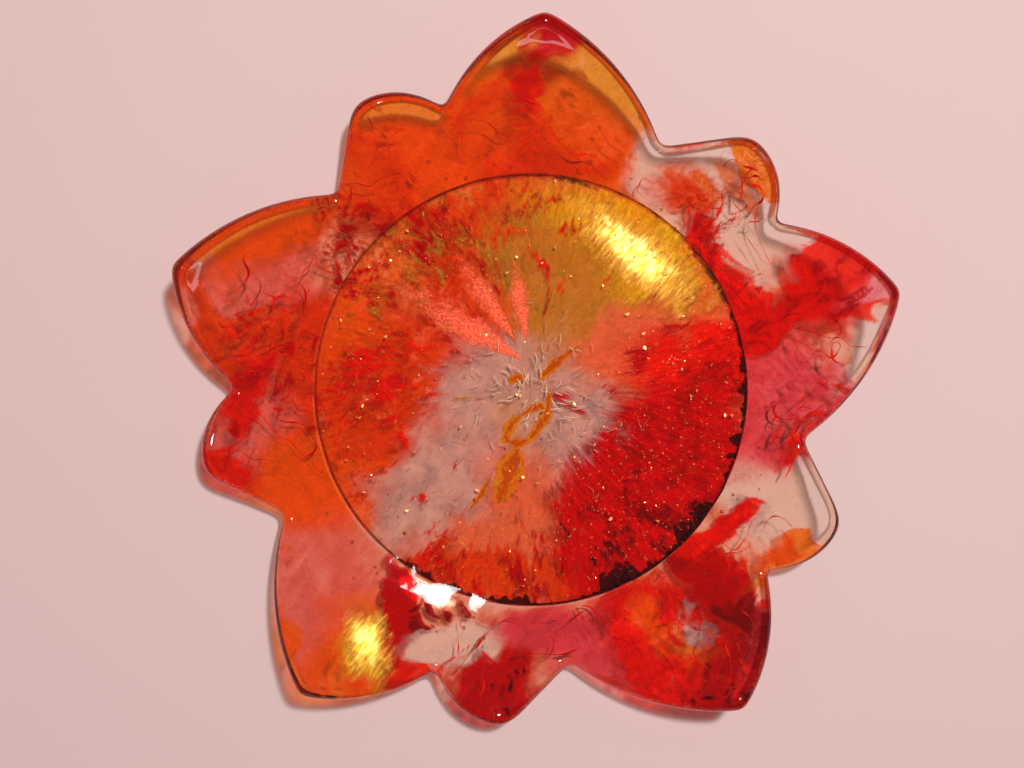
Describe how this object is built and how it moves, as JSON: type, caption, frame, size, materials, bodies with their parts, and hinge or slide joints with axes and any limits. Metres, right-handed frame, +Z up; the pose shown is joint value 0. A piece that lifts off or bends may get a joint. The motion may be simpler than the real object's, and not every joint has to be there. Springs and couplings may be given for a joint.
{
  "type": "lotus bowl",
  "caption": "Shallow lotus-flower bowl, clear with pointed and blunt petals and a full-round rim, over a round foot holding ink and mica bodies.",
  "frame": {"origin": "centre of the flat round foot that the bowl rests on, on the axis that the petals are arranged about", "axes": "+Z up, out of the bowl's mouth; +Y towards the tip of one large petal"},
  "size_m": [0.2583, 0.2568, 0.0403],
  "materials": {
    "clear_casting": "clear cast resin with orange, red and crimson ink, gloss",
    "mica_layer": "ink-tinted cast resin full of fine mica, gloss",
    "dark_ink": "settled dark red ink, gloss",
    "amber_ink": "amber ink, gloss",
    "gold_mica": "yellow-gold mica, pearly",
    "coral_mica": "coral glitter mica, pearly",
    "foil": "thin bright foil, crinkled",
    "fibre": "pale fine fibre"
  },
  "bodies": {
    "root": {"petal_shell": "clear_casting", "foot_layer": "mica_layer", "dark_ink_line": "dark_ink", "amber_ink_pools": "amber_ink", "gold_mica_patch": "gold_mica", "coral_mica_wedge": "coral_mica", "foil_flakes": "foil", "hair_fibres": "fibre"}
  },
  "joints": []
}
